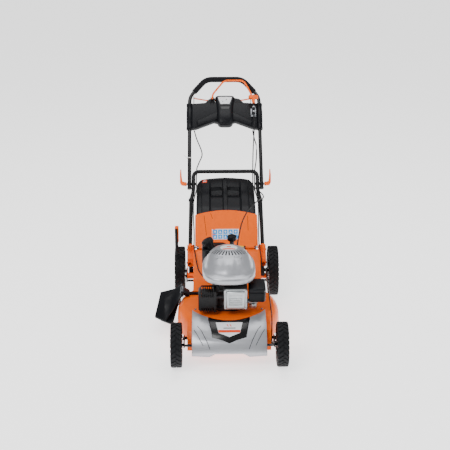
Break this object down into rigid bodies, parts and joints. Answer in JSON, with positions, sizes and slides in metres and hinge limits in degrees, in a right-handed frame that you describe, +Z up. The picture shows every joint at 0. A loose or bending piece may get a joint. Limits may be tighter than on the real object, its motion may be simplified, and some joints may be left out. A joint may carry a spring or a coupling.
{
  "type": "walk-behind lawn mower",
  "caption": "Self-propelled petrol lawn mower with steel deck, folding handle, rear grass catcher, side discharge and adjustable cutting height.",
  "frame": {"origin": "bottom centre of the bounding box, on the ground", "axes": "+Y runs from the mower's nose to its handle, +X to the right as seen from the nose, +Z up"},
  "size_m": [0.611, 1.5772, 0.9408],
  "materials": {
    "orange_paint": "glossy powder coat",
    "orange_plastic": "moulded, slightly glossy",
    "silver_plastic": "silver metallic paint on plastic",
    "black_plastic": "fine moulded texture",
    "black_paint": "satin powder coat",
    "rubber": "matt",
    "tyre": "matt, moulded tread",
    "foam": "closed-cell foam",
    "fabric": "woven polyester",
    "steel": "zinc plated",
    "aluminium": "die cast",
    "cast": "sand-cast, dark"
  },
  "bodies": {
    "mower": {"deck_shell": "orange_paint", "front_cover": "silver_plastic", "cover_insert": "black_plastic", "engine_block": "cast", "valve_cover": "aluminium", "muffler": "cast", "muffler_guard": "black_paint", "carburettor": "aluminium", "air_filter_box": "black_plastic", "engine_shroud": "silver_plastic", "fuel_tank": "black_plastic", "spark_plug_lead": "rubber", "handle_bracket_left": "orange_paint", "handle_bracket_right": "orange_paint", "flap_hinge_rod": "steel", "gearbox_housing": "cast", "lower_handle": "black_paint", "starter_rope_lower": "rubber", "brake_cable_lower": "rubber", "drive_cable_lower": "rubber", "drive_belt": "rubber", "side_hinge": "black_paint"},
    "crank": {"crankshaft": "steel", "flywheel": "cast", "blade_adapter": "steel", "blade": "steel", "blade_bolt": "steel"},
    "gearbox_input": {"gearbox_pulley": "steel"},
    "drive_shaft": {"drive_shaft": "steel"},
    "rear_axle": {"rear_axle": "steel", "height_lever": "black_plastic"},
    "front_axle": {"front_axle": "steel"},
    "link_rod": {"link_rod": "black_paint"},
    "front_left_wheel": {"front_left_tyre": "tyre", "front_left_rim": "black_plastic"},
    "front_right_wheel": {"front_right_tyre": "tyre", "front_right_rim": "black_plastic"},
    "rear_left_wheel": {"rear_left_tyre": "tyre", "rear_left_rim": "black_plastic"},
    "rear_right_wheel": {"rear_right_tyre": "tyre", "rear_right_rim": "black_plastic"},
    "upper_handle": {"upper_handle": "black_paint", "foam_grip": "foam", "console": "black_plastic", "brake_cable_upper": "rubber", "drive_cable_upper": "rubber", "rope_guide": "steel", "starter_rope_upper": "rubber"},
    "drive_bail": {"drive_bail": "orange_paint"},
    "brake_bail": {"brake_bail": "orange_paint"},
    "starter_grip": {"starter_grip": "orange_plastic"},
    "cam_lever_left": {"cam_lever_left": "orange_plastic"},
    "cam_lever_right": {"cam_lever_right": "orange_plastic"},
    "rear_flap": {"rear_flap": "orange_paint"},
    "catcher": {"catcher_lid": "black_plastic", "catcher_bag": "fabric"},
    "side_flap": {"side_flap": "black_plastic"},
    "side_chute": {"side_chute": "black_plastic"},
    "fuel_cap": {"fuel_cap": "black_plastic"},
    "oil_cap": {"oil_cap": "black_plastic"}
  },
  "joints": [
    {"name": "crank_spin", "type": "hinge", "parent": "mower", "child": "crank", "pos_m": [0.0425, -0.413, 0.1991], "axis": [0, 0, 1], "continuous": true},
    {"name": "gearbox_input_spin", "type": "hinge", "parent": "mower", "child": "gearbox_input", "pos_m": [0.0425, -0.093, 0.0951], "axis": [0, 0, 1], "continuous": true},
    {"name": "height_adjust", "type": "hinge", "parent": "mower", "child": "rear_axle", "pos_m": [0.0425, -0.048, 0.1261], "axis": [1, 0, 0], "range_deg": [-22, 22]},
    {"name": "drive_shaft_spin", "type": "hinge", "parent": "rear_axle", "child": "drive_shaft", "pos_m": [0.0425, -0.048, 0.1261], "axis": [1, 0, 0], "continuous": true},
    {"name": "front_axle_swing", "type": "hinge", "parent": "mower", "child": "front_axle", "pos_m": [0.0425, -0.628, 0.1006], "axis": [1, 0, 0], "range_deg": [-22.5, 22.5]},
    {"name": "link_rod_turn", "type": "hinge", "parent": "rear_axle", "child": "link_rod", "pos_m": [0.237, -0.048, 0.1581], "axis": [1, 0, 0], "range_deg": [-22.5, 22.5]},
    {"name": "front_left_spin", "type": "hinge", "parent": "front_axle", "child": "front_left_wheel", "pos_m": [-0.1935, -0.688, 0.1006], "axis": [1, 0, 0], "continuous": true},
    {"name": "front_right_spin", "type": "hinge", "parent": "front_axle", "child": "front_right_wheel", "pos_m": [0.2785, -0.688, 0.1006], "axis": [1, 0, 0], "continuous": true},
    {"name": "rear_left_spin", "type": "hinge", "parent": "rear_axle", "child": "rear_left_wheel", "pos_m": [-0.1935, 0.012, 0.1261], "axis": [1, 0, 0], "continuous": true},
    {"name": "rear_right_spin", "type": "hinge", "parent": "rear_axle", "child": "rear_right_wheel", "pos_m": [0.2785, 0.012, 0.1261], "axis": [1, 0, 0], "continuous": true},
    {"name": "handle_fold", "type": "hinge", "parent": "mower", "child": "upper_handle", "pos_m": [0.0425, 0.29112, 0.49413], "axis": [1, 0, 0], "range_deg": [0, 136]},
    {"name": "drive_bail_squeeze", "type": "hinge", "parent": "upper_handle", "child": "drive_bail", "pos_m": [0.0845, 0.6554, 0.85174], "axis": [1, 0, 0], "range_deg": [-17, 0], "stiffness_Nm_per_rad": 1.2, "springref_deg": 14.32},
    {"name": "brake_bail_squeeze", "type": "hinge", "parent": "upper_handle", "child": "brake_bail", "pos_m": [0.0425, 0.68202, 0.8461], "axis": [1, 0, 0], "range_deg": [0, 50], "stiffness_Nm_per_rad": 0.8, "springref_deg": -28.65},
    {"name": "starter_pull", "type": "slide", "parent": "upper_handle", "child": "starter_grip", "axis": [0, 0.4695, 0.8829], "range_m": [0, 0.35], "stiffness_N_per_m": 12, "springref_m": -0.15},
    {"name": "cam_left_open", "type": "hinge", "parent": "mower", "child": "cam_lever_left", "pos_m": [-0.1671, 0.29112, 0.49413], "axis": [0, -0.6691, 0.7431], "range_deg": [0, 90]},
    {"name": "cam_right_open", "type": "hinge", "parent": "mower", "child": "cam_lever_right", "pos_m": [0.2521, 0.29112, 0.49413], "axis": [0, 0.6691, -0.7431], "range_deg": [0, 90]},
    {"name": "rear_flap_open", "type": "hinge", "parent": "mower", "child": "rear_flap", "pos_m": [0.0425, -0.011, 0.2671], "axis": [1, 0, 0], "range_deg": [0, 45], "stiffness_Nm_per_rad": 2, "springref_deg": -45.84},
    {"name": "catcher_lift_off", "type": "slide", "parent": "mower", "child": "catcher", "axis": [0, 1, 0], "range_m": [0, 0.35]},
    {"name": "side_flap_open", "type": "hinge", "parent": "mower", "child": "side_flap", "pos_m": [-0.1735, -0.338, 0.1891], "axis": [0, 1, 0], "range_deg": [0, 60], "stiffness_Nm_per_rad": 0.3, "springref_deg": -45.84},
    {"name": "side_chute_off", "type": "slide", "parent": "mower", "child": "side_chute", "axis": [-0.9037, 0, -0.4281], "range_m": [0, 0.09]},
    {"name": "fuel_cap_turn", "type": "hinge", "parent": "mower", "child": "fuel_cap", "pos_m": [-0.05922, -0.238, 0.40951], "axis": [-0.4794, 0, 0.8776], "continuous": true},
    {"name": "oil_cap_turn", "type": "hinge", "parent": "mower", "child": "oil_cap", "pos_m": [0.0645, -0.193, 0.3991], "axis": [0, 0, 1], "continuous": true}
  ],
  "couplings": [
    {"joint": "gearbox_input_spin", "follows": "crank_spin", "ratio": 0.68966},
    {"joint": "front_axle_swing", "follows": "height_adjust", "ratio": -1},
    {"joint": "link_rod_turn", "follows": "height_adjust", "ratio": -1},
    {"joint": "rear_left_spin", "follows": "drive_shaft_spin", "ratio": 0.2},
    {"joint": "rear_right_spin", "follows": "drive_shaft_spin", "ratio": 0.2}
  ]
}
